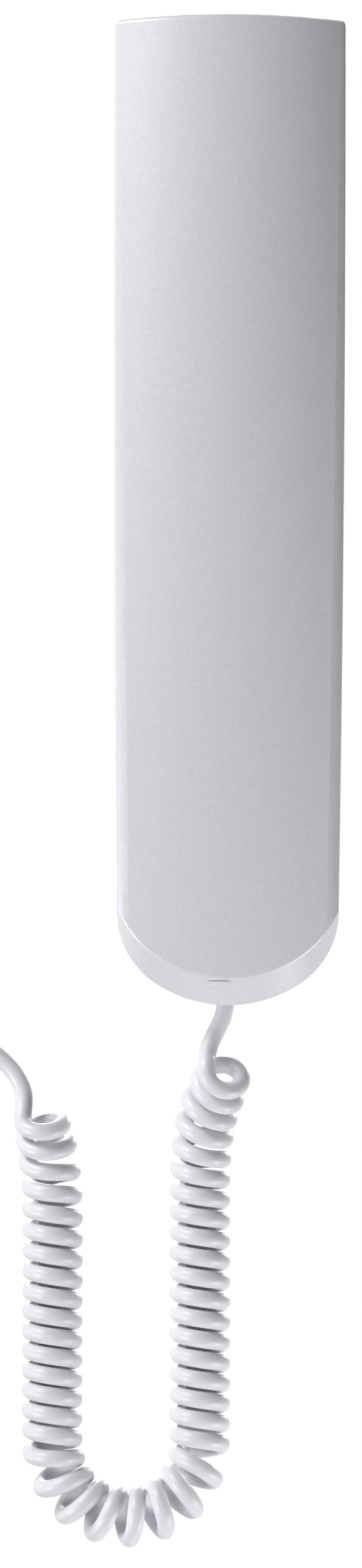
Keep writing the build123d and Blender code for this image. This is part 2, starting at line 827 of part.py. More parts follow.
# Back half with the grip, the ear boss and the mouth boss
with BuildPart() as ear_boss:
    add(boss_prism(ear_boss_outline(0), grip_inside_y, ear_rim_y))
    fillet(ear_boss.edges().group_by(Axis.Y)[-1], boss_rim_round)
with BuildPart() as mouth_boss:
    add(boss_prism(mouth_boss_outline(0), grip_inside_y, mouth_rim_y))
    add(mouth_waste(0), mode=Mode.SUBTRACT)
    fillet(off_depth(mouth_boss.edges(), grip_inside_y), boss_rim_round)
with BuildPart() as mouth_hollow:
    add(boss_prism(mouth_boss_outline(rim_wall), parting_y, mouth_inside_y))
    add(mouth_waste(rim_wall), mode=Mode.SUBTRACT)
with BuildPart() as back_fittings:
    cup_radius = receiver_radius + receiver_play
    cup_end_y = ear_inside_y - receiver_cup_height
    cup_start_y = ear_inside_y + rim_wall / 2
    add(front_disc(cup_radius + receiver_cup_wall, cup_start_y, cup_start_y - cup_end_y, receiver_z))
    add(front_disc(cup_radius, cup_start_y, front_reach, receiver_z), mode=Mode.SUBTRACT)
    holder_start_y = mouth_inside_y + rim_wall / 2
    holder_depth = boot_holder_height + rim_wall / 2
    add(front_disc(holder_radius + boot_holder_wall, holder_start_y, holder_depth, microphone_z))
    add(front_disc(holder_radius, holder_start_y, front_reach, microphone_z), mode=Mode.SUBTRACT)
    post_start_y = grip_inside_y + wall / 2
    for height in screw_heights:
        add(front_disc(seat_tube_radius, post_start_y, post_start_y - screw_boss_y, height))
    for height in weight_screw_heights:
        add(front_disc(weight_post_radius, post_start_y, post_start_y - weight_back_y, height))
    for across in board_screw_places:
        post_depth = post_start_y - board_back_y
        add(front_disc(board_post_radius, post_start_y, post_depth, board_z, across))
    add(block(seat_x, (parting_y, parting_y + seat_half), (seat_low_z, seat_top_z)))
with BuildPart() as inner_shell:
    with BuildSketch(Plane.XZ.offset(-grip_back_y)):
        add(rounded_outline())
    extrude(amount=side_depth)
    back_walls = Compound(inner_shell.faces().filter_by(Axis.Y, reverse=True))
    add(palm_block(), mode=Mode.INTERSECT)
    back_rim = off_depth(touching(inner_shell.edges(), back_walls), parting_y)
    fillet(back_rim, rim_round)
    with BuildSketch(Plane.XZ.offset(-parting_y - seam_groove)):
        add(rounded_outline(-overrun))
        add(rounded_outline(seam_groove), mode=Mode.SUBTRACT)
    extrude(amount=seam_groove, mode=Mode.SUBTRACT)
    add(ear_boss.part)
    add(mouth_boss.part)
    add(boss_prism(handset_outline(wall), parting_y, grip_inside_y), mode=Mode.SUBTRACT)
    add(boss_prism(ear_boss_outline(rim_wall), parting_y, ear_inside_y), mode=Mode.SUBTRACT)
    add(mouth_hollow.part, mode=Mode.SUBTRACT)
    tongue_start_y = parting_y - tongue_height
    add(seam_ring(wall - tongue_thickness, wall, tongue_start_y, parting_y + tongue_root, bay_half))
    add(back_fittings.part)
    for height in screw_heights:
        add(front_disc(counterbore_radius, grip_back_y, screw_seat_depth, height), mode=Mode.SUBTRACT)
        hole_radius = screw_radius + screw_hole_clearance
        add(front_disc(hole_radius, grip_back_y, side_depth, height), mode=Mode.SUBTRACT)
    for height in weight_screw_heights:
        pilot_y = weight_front_y + weight_screw_length + pilot_overrun
        add(front_disc(pilot_radius, pilot_y, front_reach, height), mode=Mode.SUBTRACT)
    for across in board_screw_places:
        pilot_y = board_front_y + board_screw_length + pilot_overrun
        add(front_disc(board_pilot_radius, pilot_y, front_reach, board_z, across), mode=Mode.SUBTRACT)
    add(front_disc(grille_dish_radius, ear_rim_y, grille_dish_depth, receiver_z), mode=Mode.SUBTRACT)
    ear_holes = holes(grille_rings, grille_hole_radius, ear_rim_y, rim_wall, receiver_z)
    add(ear_holes, mode=Mode.SUBTRACT)
    sound_rings = ((0, 1), (sound_ring_radius, sound_ring_holes))
    mouth_holes = holes(sound_rings, sound_hole_radius, mouth_rim_y, rim_wall, microphone_z)
    add(mouth_holes, mode=Mode.SUBTRACT)
    add(block(neck_x, neck_y, (chin_z - overrun, flange_top_z)), mode=Mode.SUBTRACT)
    pocket_x = (cord_exit_x - flange_half - slip, cord_exit_x + flange_half + slip)
    pocket_y = (parting_y - flange_half - slip, parting_y + flange_half + slip)
    add(block(pocket_x, pocket_y, (seat_top_z, flange_top_z + slip)), mode=Mode.SUBTRACT)
inner_shell.part.label = "inner_shell"
export_step(inner_shell.part, "parts/inner_shell.step")

# Screws that join the shells, from the grip side
with BuildPart() as case_screws:
    for height in screw_heights:
        sizes = (screw_radius, screw_head_radius, screw_head_height, screw_length)
        add(screw(0, height, screw_seat_y, 1, *sizes))
case_screws.part.label = "case_screws"
export_step(case_screws.part, "parts/case_screws.step")

# Receiver: seal, perforated cap, diaphragm, coil, basket, magnet circuit and terminals
with BuildPart() as receiver_gasket:
    add(front_disc(receiver_radius, ear_inside_y, gasket_thickness, receiver_z))
    gasket_hole = receiver_radius - gasket_width
    add(front_disc(gasket_hole, ear_inside_y, gasket_thickness, receiver_z), mode=Mode.SUBTRACT)
receiver_gasket.part.label = "receiver_gasket"
export_step(receiver_gasket.part, "parts/receiver_gasket.step")

cap_inner_radius = receiver_radius - cap_thickness
with BuildPart() as receiver_front_cap:
    add(front_disc(receiver_radius, cap_front_y, cap_skirt, receiver_z))
    add(front_disc(cap_inner_radius, cap_back_y, cap_skirt, receiver_z), mode=Mode.SUBTRACT)
    cap_edges = receiver_front_cap.edges().filter_by(GeomType.CIRCLE)
    fillet(cap_edges.group_by(Axis.Y)[-1], cap_thickness / 2)
    cap_holes = holes(grille_rings, cap_hole_radius, cap_front_y, cap_thickness, receiver_z)
    add(cap_holes, mode=Mode.SUBTRACT)
receiver_front_cap.part.label = "receiver_front_cap"
export_step(receiver_front_cap.part, "parts/receiver_front_cap.step")

basket_radius = cap_inner_radius - slip
ledge_radius = basket_radius - basket_rim
basket_bore = basket_radius - basket_wall
yoke_hole = yoke_radius + slip
basket_floor_y = basket_back_y + basket_floor
receiver_basket_profile = (
    (cap_back_y, ledge_radius),
    (cap_back_y, basket_radius),
    (basket_back_y, basket_radius),
    (basket_back_y, yoke_hole),
    (basket_floor_y, yoke_hole),
    (basket_floor_y, basket_bore),
    (diaphragm_y, basket_bore),
    (diaphragm_y, ledge_radius),
)
with BuildPart() as receiver_basket:
    add(revolved(receiver_basket_profile, receiver_z))
receiver_basket.part.label = "receiver_basket"
export_step(receiver_basket.part, "parts/receiver_basket.step")

diaphragm_top_y = diaphragm_y + diaphragm_thickness
diaphragm_radius = ledge_radius - diaphragm_play
arch_middle = (arch_start_radius + arch_end_radius) / 2
with BuildPart() as receiver_diaphragm:
    with BuildSketch(Plane(origin=(0, 0, receiver_z), x_dir=(0, 1, 0), z_dir=(1, 0, 0))):
        with BuildLine():
            Line((diaphragm_y, diaphragm_radius), (diaphragm_top_y, diaphragm_radius))
            for flat_y in (diaphragm_y, diaphragm_top_y):
                Line((flat_y, diaphragm_radius), (flat_y, arch_end_radius))
                arch_crest = (flat_y + arch_rise, arch_middle)
                ThreePointArc((flat_y, arch_end_radius), arch_crest, (flat_y, arch_start_radius))
                Line((flat_y, arch_start_radius), (flat_y, dome_radius))
                TangentArc((flat_y + dome_rise, 0), (flat_y, dome_radius), tangent=(0, 1))
            Line((diaphragm_y + dome_rise, 0), (diaphragm_top_y + dome_rise, 0))
        make_face()
    revolve(axis=Axis((0, 0, receiver_z), (0, 1, 0)))
receiver_diaphragm.part.label = "receiver_diaphragm"
export_step(receiver_diaphragm.part, "parts/receiver_diaphragm.step")

coil_bore = pole_radius + coil_gap
with BuildPart() as voice_coil:
    add(front_disc(coil_bore + coil_thickness, diaphragm_y, coil_height, receiver_z))
    add(front_disc(coil_bore, diaphragm_y, coil_height, receiver_z), mode=Mode.SUBTRACT)
voice_coil.part.label = "voice_coil"
export_step(voice_coil.part, "parts/voice_coil.step")

yoke_floor_y = yoke_back_y + yoke_floor
yoke_profile = (
    (yoke_back_y, 0),
    (yoke_back_y, yoke_radius),
    (flange_back_y, yoke_radius),
    (flange_back_y, yoke_radius + yoke_flange),
    (basket_back_y, yoke_radius + yoke_flange),
    (basket_back_y, yoke_radius),
    (yoke_front_y, yoke_radius),
    (yoke_front_y, yoke_radius - yoke_wall),
    (yoke_floor_y, yoke_radius - yoke_wall),
    (yoke_floor_y, 0),
)
with BuildPart() as receiver_yoke:
    add(revolved(yoke_profile, receiver_z))
receiver_yoke.part.label = "receiver_yoke"
export_step(receiver_yoke.part, "parts/receiver_yoke.step")

magnet_y = yoke_floor_y + magnet_thickness
with BuildPart() as receiver_magnet:
    add(front_disc(magnet_radius, magnet_y, magnet_thickness, receiver_z))
receiver_magnet.part.label = "receiver_magnet"
export_step(receiver_magnet.part, "parts/receiver_magnet.step")

with BuildPart() as receiver_pole_plate:
    add(front_disc(pole_radius, magnet_y + pole_thickness, pole_thickness, receiver_z))
receiver_pole_plate.part.label = "receiver_pole_plate"
export_step(receiver_pole_plate.part, "parts/receiver_pole_plate.step")

with BuildPart() as receiver_back_pad:
    add(front_disc(back_pad_radius, yoke_back_y, back_pad_thickness, receiver_z))
receiver_back_pad.part.label = "receiver_back_pad"
export_step(receiver_back_pad.part, "parts/receiver_back_pad.step")

with BuildPart() as receiver_terminal_board:
    with BuildSketch(Plane.XZ.offset(-basket_back_y)):
        with Locations((0, terminal_z)):
            RectangleRounded(terminal_board_width, terminal_board_height, terminal_radius)
    extrude(amount=terminal_board_thickness)
receiver_terminal_board.part.label = "receiver_terminal_board"
export_step(receiver_terminal_board.part, "parts/receiver_terminal_board.step")

terminal_places = (-terminal_spacing / 2, terminal_spacing / 2)
with BuildPart() as receiver_terminals:
    for across in terminal_places:
        add(front_disc(terminal_radius, terminal_y, terminal_thickness, terminal_z, across))
receiver_terminals.part.label = "receiver_terminals"
export_step(receiver_terminals.part, "parts/receiver_terminals.step")

# Microphone in its rubber boot
boot_back_y = capsule_back_y - boot_tail
with BuildPart() as microphone_boot:
    add(front_disc(boot_radius, mouth_inside_y, mouth_inside_y - boot_back_y, microphone_z))
    bore_radius = microphone_radius + slip
    add(front_disc(bore_radius, capsule_y, front_reach, microphone_z), mode=Mode.SUBTRACT)
    lip_radius = microphone_radius - boot_lip
    add(front_disc(lip_radius, mouth_inside_y, boot_lip, microphone_z), mode=Mode.SUBTRACT)
microphone_boot.part.label = "microphone_boot"
export_step(microphone_boot.part, "parts/microphone_boot.step")

with BuildPart() as microphone_capsule:
    add(front_disc(microphone_radius, capsule_y, microphone_depth, microphone_z))
    rim_radius = microphone_radius - capsule_rim
    add(front_disc(rim_radius, capsule_y, capsule_rim_depth, microphone_z), mode=Mode.SUBTRACT)
    port_depth = 2 * capsule_rim_depth
    add(front_disc(capsule_port_radius, capsule_y, port_depth, microphone_z), mode=Mode.SUBTRACT)
microphone_capsule.part.label = "microphone_capsule"
export_step(microphone_capsule.part, "parts/microphone_capsule.step")

with BuildPart() as microphone_board:
    radius = microphone_radius - microphone_board_inset
    add(front_disc(radius, capsule_back_y, microphone_board_thickness, microphone_z))
microphone_board.part.label = "microphone_board"
export_step(microphone_board.part, "parts/microphone_board.step")

# Steel weight on its two posts
with BuildPart() as ballast_weight:
    with BuildSketch(Plane.XZ.offset(-weight_back_y)):
        with Locations((0, weight_z)):
            RectangleRounded(weight_width, weight_length, weight_corner)
    extrude(amount=weight_thickness)
    for height in weight_screw_heights:
        hole_radius = screw_radius + screw_hole_clearance
        add(front_disc(hole_radius, weight_back_y, weight_thickness, height), mode=Mode.SUBTRACT)
ballast_weight.part.label = "ballast_weight"
export_step(ballast_weight.part, "parts/ballast_weight.step")

with BuildPart() as ballast_screws:
    for height in weight_screw_heights:
        sizes = (screw_radius, screw_head_radius, screw_head_height, weight_screw_length)
        add(screw(0, height, weight_front_y, -1, *sizes))
ballast_screws.part.label = "ballast_screws"
export_step(ballast_screws.part, "parts/ballast_screws.step")

# Junction board with the connector for the cord
connector_z = board_z - connector_drop
pin_places = [(index - 1.5) * pin_pitch for index in range(4)]
pin_back_y = board_back_y + pin_tail
pin_y = (pin_back_y - pin_length, pin_back_y)
pin_z = (connector_z - pin_width / 2, connector_z + pin_width / 2)
with BuildPart() as junction_board:
    with BuildSketch(Plane.XZ.offset(-board_back_y)):
        with Locations((0, board_z)):
            Rectangle(board_width, board_height)
    extrude(amount=board_thickness)
    for across in board_screw_places:
        hole_radius = board_screw_radius + slip
        add(front_disc(hole_radius, board_back_y, board_thickness, board_z, across), mode=Mode.SUBTRACT)
    for across in pin_places:
        add(front_disc(pin_width, board_back_y, board_thickness, connector_z, across), mode=Mode.SUBTRACT)
junction_board.part.label = "junction_board"
export_step(junction_board.part, "parts/junction_board.step")

with BuildPart() as board_screws:
    for across in board_screw_places:
        sizes = (board_screw_radius, board_screw_head_radius, board_screw_head_height, board_screw_length)
        add(screw(across, board_z, board_front_y, -1, *sizes))
board_screws.part.label = "board_screws"
export_step(board_screws.part, "parts/board_screws.step")

connector_low_z = connector_z - connector_height / 2
connector_front_y = board_front_y - connector_depth
with BuildPart() as line_connector:
    half_width = connector_width / 2
    connector_limits = (connector_low_z, connector_low_z + connector_height)
    add(block((-half_width, half_width), (connector_front_y, board_front_y), connector_limits))
    fillet(line_connector.edges().filter_by(Axis.Z), connector_wall / 2)
    for across in pin_places:
        add(block((across - pin_width / 2, across + pin_width / 2), pin_y, pin_z), mode=Mode.SUBTRACT)
line_connector.part.label = "line_connector"
export_step(line_connector.part, "parts/line_connector.step")

with BuildPart() as connector_pins:
    for across in pin_places:
        add(block((across - pin_width / 2, across + pin_width / 2), pin_y, pin_z))
connector_pins.part.label = "connector_pins"
export_step(connector_pins.part, "parts/connector_pins.step")

# Strain relief that the shells clamp at the chin
collar_top_z = flange_top_z + grommet_collar_height
grommet_low_z = chin_z + grommet_recess
with BuildPart() as cord_grommet:
    neck_half = (cord_exit_x - grommet_half, cord_exit_x + grommet_half)
    neck_depth = (parting_y - grommet_half, parting_y + grommet_half)
    add(block(neck_half, neck_depth, (grommet_low_z, seat_top_z)))
    flange_x = (cord_exit_x - flange_half, cord_exit_x + flange_half)
    flange_y = (parting_y - flange_half, parting_y + flange_half)
    add(block(flange_x, flange_y, (seat_top_z, flange_top_z)))
    fillet(cord_grommet.edges().filter_by(Axis.Z), grommet_round)
    with BuildSketch(Plane.XY.offset(flange_top_z)):
        with Locations((cord_exit_x, parting_y)):
            Circle(grommet_collar_radius)
    extrude(amount=grommet_collar_height)
cord_grommet.part.label = "cord_grommet"
export_step(cord_grommet.part, "parts/cord_grommet.step")

# Wires inside the handset
lane_x = weight_width / 2 + wire_lane
lane_y = weight_back_y - wire_sway
with BuildPart() as receiver_wires:
    pad_z = board_z + board_height / 2 - wire_end_run / 2
    lane_top_z = terminal_z - 2 * wire_reach
    for index, across in enumerate(terminal_places):
        offset = (index - 0.5) * wire_spacing
        pad_x = -board_width / 2 + wire_end_run + offset
        end_z = pad_z + offset
        run_x = -lane_x + offset
        front_y = terminal_y - terminal_thickness
        lane = [
            (run_x, lane_y - wire_sway * (step % 2), between(lane_top_z, pad_z + 2 * wire_reach, share))
            for step, share in enumerate(wire_lane_shares)
        ]
        route = [
            (across, front_y, terminal_z),
            (across, front_y - wire_reach, terminal_z),
            (between(across, run_x, 0.6), lane_y, lane_top_z),
            *lane,
            (run_x + wire_sway, board_front_y - wire_end_run, end_z + wire_reach),
            (pad_x, board_front_y - wire_end_run, end_z),
            (pad_x, board_front_y, end_z),
        ]
        add(tube(rounded_route(route, "receiver wire"), 2 * wire_radius))
receiver_wires.part.label = "receiver_wires"
export_step(receiver_wires.part, "parts/receiver_wires.step")

with BuildPart() as microphone_wires:
    for side in (-1, 1):
        wire_x = side * wire_spacing / 2
        start_y = capsule_back_y - microphone_board_thickness
        pad_x = board_width / 2 - wire_end_run + wire_x
        pad_z = board_z - board_height / 2 + wire_end_run / 2
        run_y = board_front_y - wire_end_run
        side_z = between(microphone_z, pad_z, 0.5)
        route = [
            (wire_x, start_y, microphone_z),
            (wire_x, start_y - wire_end_run, microphone_z),
            (pad_x + wire_end_run, run_y, side_z),
            (pad_x, run_y, pad_z),
            (pad_x, board_front_y, pad_z),
        ]
        add(tube(rounded_route(route, "microphone wire"), 2 * wire_radius))
microphone_wires.part.label = "microphone_wires"
export_step(microphone_wires.part, "parts/microphone_wires.step")

with BuildPart() as line_wires:
    connector_y = board_front_y - connector_depth / 2
    for index, across in enumerate(pin_places):
        wire_x = cord_exit_x + (index % 2 - 0.5) * wire_spacing
        wire_y = parting_y + (index // 2 - 0.5) * wire_spacing
        bow_x = between(wire_x, 2 * across, 0.5)
        route = [
            (wire_x, wire_y, collar_top_z),
            (wire_x, wire_y, collar_top_z + wire_reach),
            (bow_x, between(wire_y, connector_y, 0.5) - wire_sway, connector_low_z - 2 * wire_reach),
            (across, connector_y, connector_low_z - wire_reach),
            (across, connector_y, connector_low_z),
        ]
        add(tube(rounded_route(route, "line wire"), 2 * wire_radius))
line_wires.part.label = "line_wires"
export_step(line_wires.part, "parts/line_wires.step")

# The cord itself, one tube from the strain relief round the curls to the plug
stations = cord_stations()
with BuildLine() as cord_route:
    Line(stations[0][0], stations[1][0])
    for (start, start_way), (end, end_way) in zip(stations[1:-2], stations[2:-1]):
        span = end - start
        ways = start_way + end_way
        spread = 2 * (1 - start_way.dot(end_way))
        lean = span.dot(ways)
        reach = (sqrt(lean**2 + spread * span.dot(span)) - lean) / spread
        first = start + start_way * reach
        second = end - end_way * reach
        TangentArc(start, (first + second) * 0.5, tangent=start_way)
        TangentArc((first + second) * 0.5, end, tangent=second - first)
    Line(stations[-2][0], stations[-1][0])
cord_length = cord_route.wire().length
with BuildPart() as curly_cord:
    add(tube(cord_route.wire(), cord_diameter))
expected = pi * cord_diameter**2 / 4 * cord_length
print("curly cord length", round(cord_length, 1))
print("curly cord volume", round(curly_cord.part.volume, 1), "of", round(expected, 1))
print("curly cord least gap", round(least_gap(cord_route.wire(), cord_diameter), 2))
curly_cord.part.label = "curly_cord"
export_step(curly_cord.part, "parts/curly_cord.step")

# Plug on the far end of the cord, pointing up
plug_top_z = plug_z + plug_length
plug_back_y = plug_y + plug_depth / 2
plug_sides = (plug_x - plug_width / 2, plug_x + plug_width / 2)
contact_y = (plug_back_y - contact_sink - contact_depth, plug_back_y - contact_sink)
contact_top_z = plug_top_z - contact_set_back
contact_z = (contact_top_z - contact_length, contact_top_z)
contact_middles = [plug_x + (index - 1.5) * contact_pitch for index in range(4)]
contact_sides = [(middle - contact_width / 2, middle + contact_width / 2) for middle in contact_middles]
with BuildPart() as plug_body:
    add(block(plug_sides, (plug_y - plug_depth / 2, plug_back_y), (plug_z, plug_top_z)))
    shoulder_z = (plug_z, plug_z + plug_shoulder)
    add(block(plug_sides, (plug_back_y - plug_step, plug_back_y), shoulder_z), mode=Mode.SUBTRACT)
    for sides in contact_sides:
        add(block(sides, (contact_y[0], plug_back_y), contact_z), mode=Mode.SUBTRACT)
plug_body.part.label = "plug_body"
export_step(plug_body.part, "parts/plug_body.step")

with BuildPart() as plug_contacts:
    for sides in contact_sides:
        add(block(sides, contact_y, contact_z))
plug_contacts.part.label = "plug_contacts"
export_step(plug_contacts.part, "parts/plug_contacts.step")

latch_lean = radians(latch_angle)
latch_origin = (plug_x, plug_y - plug_depth / 2 - latch_stand_off, plug_top_z - latch_root)
latch_plane = Plane(origin=latch_origin, x_dir=(0, -sin(latch_lean), -cos(latch_lean)), z_dir=(1, 0, 0))
with BuildPart() as plug_latch:
    with BuildSketch(latch_plane):
        Circle(latch_thickness / 2)
        with Locations((latch_length / 2, 0)):
            Rectangle(latch_length, latch_thickness)
        with Locations((latch_length / 3, -latch_thickness / 2)):
            Rectangle(latch_ridge, 2 * latch_ridge)
    extrude(amount=latch_width / 2, both=True)
plug_latch.part.label = "plug_latch"
export_step(plug_latch.part, "parts/plug_latch.step")
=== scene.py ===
from math import cos, pi, radians, sin

import bmesh
import bpy
from bpy.props import FloatProperty, FloatVectorProperty, IntProperty, PointerProperty
from mathutils import Matrix, Vector


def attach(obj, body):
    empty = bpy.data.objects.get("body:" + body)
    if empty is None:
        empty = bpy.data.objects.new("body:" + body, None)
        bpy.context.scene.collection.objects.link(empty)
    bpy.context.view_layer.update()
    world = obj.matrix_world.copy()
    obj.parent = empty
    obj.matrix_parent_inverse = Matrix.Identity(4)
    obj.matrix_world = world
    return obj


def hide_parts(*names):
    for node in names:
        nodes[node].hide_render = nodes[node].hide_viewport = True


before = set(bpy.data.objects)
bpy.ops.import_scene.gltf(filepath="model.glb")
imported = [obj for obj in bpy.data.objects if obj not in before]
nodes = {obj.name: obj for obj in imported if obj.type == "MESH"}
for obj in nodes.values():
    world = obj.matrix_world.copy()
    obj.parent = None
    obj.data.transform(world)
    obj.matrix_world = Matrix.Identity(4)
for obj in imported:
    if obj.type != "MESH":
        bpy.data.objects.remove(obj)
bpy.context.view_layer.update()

bl_info = {
    "name": "Intercom handset",
    "version": (1, 0, 0),
    "blender": (4, 5, 0),
    "location": "View3D > Sidebar > Handset",
    "description": "Finishes, curly cord and studio for an intercom handset",
    "category": "Object",
}

FLOAT, COLOUR = "NodeSocketFloat", "NodeSocketColor"

# The cord's places are those of the handset's source, here in metres
cord_exit = Vector((-0.0004, -0.013, -0.1474))
cord_end = Vector((-0.0595, -0.006, -0.146))
coil_axis = (
    (-0.0005, -0.0174, -0.1636),
    (-0.0011, -0.0142, -0.1652),
    (-0.0024, -0.0114, -0.1682),
    (-0.0040, -0.0089, -0.1724),
    (-0.0051, -0.0069, -0.1776),
    (-0.0057, -0.0054, -0.1840),
    (-0.0058, -0.0048, -0.1940),
    (-0.00566, -0.0048, -0.2170),
    (-0.00566, -0.0048, -0.2403),
    (-0.00566, -0.0048, -0.2487),
    (-0.00987, -0.0048, -0.2560),
    (-0.01717, -0.0048, -0.2602),
    (-0.02559, -0.0048, -0.2602),
    (-0.03295, -0.0048, -0.2560),
    (-0.0373, -0.0048, -0.2487),
    (-0.0375, -0.0048, -0.2403),
    (-0.0375, -0.0048, -0.2170),
    (-0.0374, -0.0048, -0.1970),
    (-0.0377, -0.0050, -0.1886),
    (-0.0384, -0.0062, -0.1816),
    (-0.0400, -0.0102, -0.1742),
)
near_tail = (
    (-0.0020, -0.0131, -0.1546),
    (-0.0037, -0.0139, -0.1579),
    (-0.0045, -0.0154, -0.1610),
)
far_tail = (
    (-0.0437, -0.0082, -0.1720),
    (-0.0436, -0.0072, -0.1684),
    (-0.0460, -0.0064, -0.1638),
    (-0.0505, -0.0060, -0.1600),
    (-0.0554, -0.0060, -0.1564),
)
# Steps from point to point of the coil's axis, and of the cord's own line
axis_steps = 24
cord_steps = 3
# Distance from turn to turn, at even steps along the coil
curl_pitches = (0.00422, 0.0044, 0.00426, 0.00423, 0.00468)
# The coil narrows to this share of its radius over this many turns at each end
end_curl_share = 0.86
end_curl_turns = 1.5
# Where round the axis the first curl starts, in turns
first_curl_turn = 0.25

# A shaded colour goes towards this share of itself
shade = (0.62, 0.60, 0.57)
# How many of each kind of feature fill a metre
handling_marks = 55.0
tone_clouds = 18.0
dull_patches = 260.0
weave_bands = 700.0

# Lamps: angle round from the camera's side, angle above the level, height aimed at, distance, width, watts
lamps = (
    ("upper_left_lamp", -60, 43, -0.045, 1.1, 0.35, 7.7),
    ("lower_left_lamp", -60, -20, -0.045, 1.1, 0.35, 5.7),
    ("front_left_lamp", -38, 22, -0.045, 1.1, 0.35, 1.2),
    ("lower_right_lamp", 74, -45, -0.15, 0.4, 0.20, 1.0),
    ("back_left_lamp", 185, 20, -0.045, 1.1, 0.35, 3.6),
    ("back_right_lamp", 155, 12, -0.045, 1.1, 0.35, 2.6),
)
lamp_aim_y = -0.02
surround_colour = (0.92, 0.93, 1.0, 1)
white = (1, 1, 1, 1)
floor_colour = (0.88, 0.88, 0.89, 1)
floor_roughness = 0.9
floor_radius = 0.9
floor_solid_share = 0.45
floor_sides = 96
camera_place = (-0.0101, -2.4, -0.1023)
camera_turn = (radians(90), radians(-0.17), 0)
camera_sensor = 36.0


class CoverSettings(bpy.types.PropertyGroup):
    colour: FloatVectorProperty(
        name="Colour", description="Colour of the moulded cover", subtype="COLOR", size=3,
        default=(0.875, 0.868, 0.93), min=0, max=1,
    )
    roughness: FloatProperty(
        name="Roughness", description="How matt the moulded cover is", subtype="FACTOR",
        default=0.36, min=0, max=1,
    )
    coat_roughness: FloatProperty(
        name="Skin roughness", description="How matt the glossy skin over the plastic is", subtype="FACTOR",
        default=0.30, min=0, max=1,
    )
    grain_size: FloatProperty(
        name="Grain size", description="Distance between the grains the mould leaves", unit="LENGTH",
        default=0.0007, min=0.0001, max=0.01, precision=5,
    )
    grain_height: FloatProperty(
        name="Grain height", description="Height of the grains the mould leaves", unit="LENGTH",
        default=0.00002, min=0, max=0.001, precision=6,
    )
    mottling: FloatProperty(
        name="Mottling", description="How much the tone changes from grain to grain", subtype="FACTOR",
        default=0.5, min=0, max=1,
    )


class CordSettings(bpy.types.PropertyGroup):
    colour: FloatVectorProperty(
        name="Colour", description="Colour of the cord's jacket", subtype="COLOR", size=3,
        default=(0.83, 0.825, 0.87), min=0, max=1,
    )
    diameter: FloatProperty(
        name="Diameter", description="Diameter of the cord", unit="LENGTH", default=0.00375,
        min=0.001, max=0.01, precision=5,
    )
    curl_radius: FloatProperty(
        name="Curl radius", description="From a curl's middle to the middle of the cord", unit="LENGTH",
        default=0.00465, min=0.002, max=0.02, precision=5,
    )
    points_per_turn: IntProperty(
        name="Points per turn", description="Points of the cord's own spline in each curl",
        default=14, min=12, max=48,
    )
    sides: IntProperty(
        name="Sides", description="Flats round the jacket", default=22, min=8, max=64,
    )


class FittingSettings(bpy.types.PropertyGroup):
    board_colour: FloatVectorProperty(
        name="Boards", description="Colour of the printed boards", subtype="COLOR", size=3,
        default=(0.05, 0.20, 0.09), min=0, max=1,
    )
    copper_colour: FloatVectorProperty(
        name="Copper", description="Colour of the coil's wire", subtype="COLOR", size=3,
        default=(0.72, 0.33, 0.16), min=0, max=1,
    )
    steel_colour: FloatVectorProperty(
        name="Steel", description="Colour of the screws, yoke and weight", subtype="COLOR", size=3,
        default=(0.56, 0.57, 0.60), min=0, max=1,
    )


class StageSettings(bpy.types.PropertyGroup):
    floor_drop: FloatProperty(
        name="Floor drop", description="How far the floor is under the handset's ledge", unit="LENGTH",
        default=0.68, min=0.3, max=2,
    )
    light: FloatProperty(
        name="Light", description="Strength of all the lamps, 1 as they are listed",
        default=1.0, min=0, max=10,
    )
    surround: FloatProperty(
        name="Surround", description="Strength of the light from all round", default=0.02, min=0, max=2,
    )
    lens: FloatProperty(
        name="Lens", description="Focal length of the camera", unit="CAMERA", default=255.4, min=10, max=400,
    )


def maths(tree, operation, first, second=None):
    """A maths node; each operand is a socket or a number."""
    node = tree.nodes.new("ShaderNodeMath")
    node.operation = operation
    for socket, value in zip(node.inputs, (first, second)):
        if isinstance(value, bpy.types.NodeSocket):
            tree.links.new(value, socket)
        elif value is not None:
            socket.default_value = value
    return node.outputs[0]


def scaled(tree, vector, scale):
    """A vector times a number for each axis."""
    node = tree.nodes.new("ShaderNodeVectorMath")
    node.operation = "MULTIPLY"
    tree.links.new(vector, node.inputs[0])
    node.inputs[1].default_value = scale
    return node.outputs[0]


def noise(tree, vector, scale, detail, rough=0.5):
    """Noise from 0 to 1 at a vector; scale is a socket or a number."""
    node = tree.nodes.new("ShaderNodeTexNoise")
    tree.links.new(vector, node.inputs["Vector"])
    if isinstance(scale, bpy.types.NodeSocket):
        tree.links.new(scale, node.inputs["Scale"])
    else:
        node.inputs["Scale"].default_value = scale
    node.inputs["Detail"].default_value = detail
    node.inputs["Roughness"].default_value = rough
    return node.outputs["Fac"]


def cells(tree, vector, size, metric="EUCLIDEAN"):
    """Distance from the middle of cells whose size is a socket."""
    node = tree.nodes.new("ShaderNodeTexVoronoi")
    node.distance = metric
    tree.links.new(vector, node.inputs["Vector"])
    tree.links.new(maths(tree, "DIVIDE", 1.0, size), node.inputs["Scale"])
    return node.outputs["Distance"]


def shaded(tree, colour, share):
    """A colour darkened by a share from 0 to 1, which is a socket."""
    node = tree.nodes.new("ShaderNodeMix")
    node.data_type = "RGBA"
    tree.links.new(share, node.inputs["Factor"])
    tree.links.new(colour, node.inputs["A"])
    tree.links.new(scaled(tree, colour, shade), node.inputs["B"])
    return node.outputs["Result"]


def place(tree):
    """The surface's place on its object, in metres."""
    return tree.nodes.new("ShaderNodeTexCoord").outputs["Object"]


